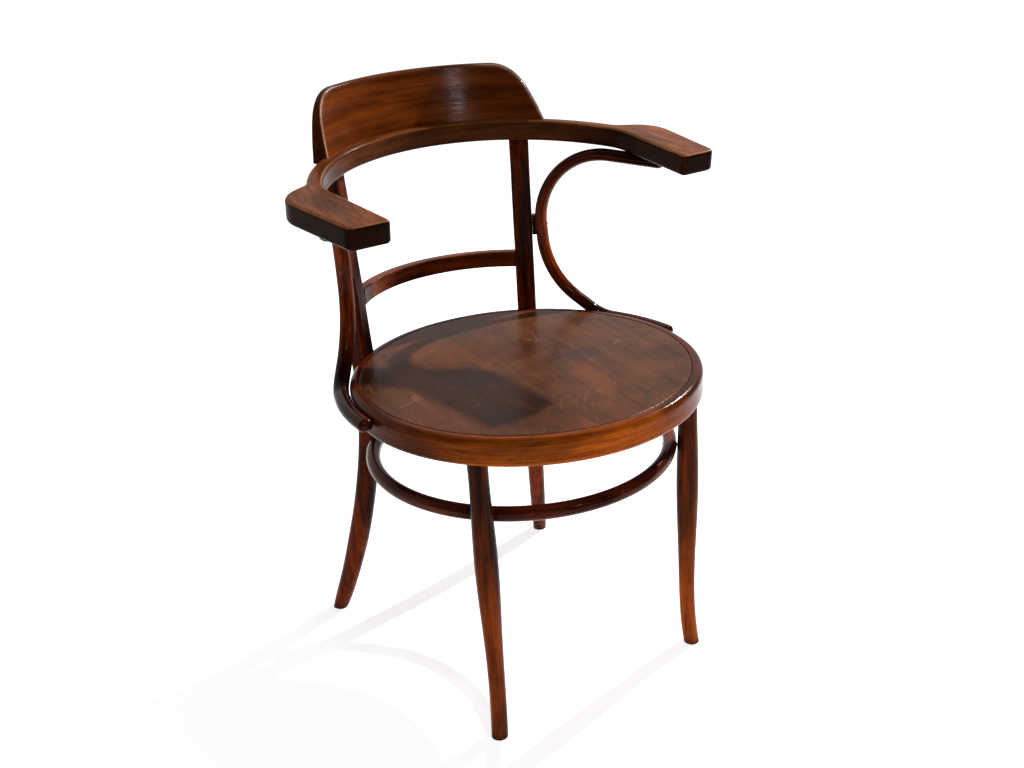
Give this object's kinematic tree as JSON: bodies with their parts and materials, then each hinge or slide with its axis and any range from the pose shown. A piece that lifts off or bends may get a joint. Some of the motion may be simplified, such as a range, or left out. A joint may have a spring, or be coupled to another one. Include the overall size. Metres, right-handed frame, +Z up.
{
  "type": "bentwood desk armchair",
  "caption": "Bentwood desk armchair with a round panel seat, a bowed arm rail, a leaning back panel, looped side braces and a foot ring.",
  "frame": {"origin": "on the floor, under the middle of the chair's bounding box", "axes": "+Z up, the chair's front faces -Y, +X is the sitter's left"},
  "size_m": [0.5882, 0.5262, 0.8151],
  "materials": {
    "stained_beech": "dark reddish-brown stain under aged gloss varnish, worn paler on edges",
    "seat_plywood": "brown stained veneer, worn and scratched, satin varnish",
    "dark_steel": "old darkened steel",
    "plain_beech": "bare beech dowel"
  },
  "bodies": {
    "root": {"seat_ring": "stained_beech", "front_leg_left": "stained_beech", "front_leg_right": "stained_beech", "back_post_left": "stained_beech", "back_post_right": "stained_beech", "arm_bow": "stained_beech", "arm_cheek_left": "stained_beech", "arm_cheek_right": "stained_beech", "back_panel": "stained_beech", "lower_back_slat": "stained_beech", "side_brace_left": "stained_beech", "side_brace_right": "stained_beech", "brace_spacer_left": "stained_beech", "brace_spacer_right": "stained_beech", "foot_ring": "stained_beech", "seat_panel": "seat_plywood", "post_bolts": "dark_steel", "post_washers": "dark_steel", "post_nuts": "dark_steel", "foot_ring_screws": "dark_steel", "brace_post_screws": "dark_steel", "brace_arm_screws": "dark_steel", "brace_seat_screws": "dark_steel", "bow_screws": "dark_steel", "back_panel_dowels": "plain_beech"}
  },
  "joints": []
}
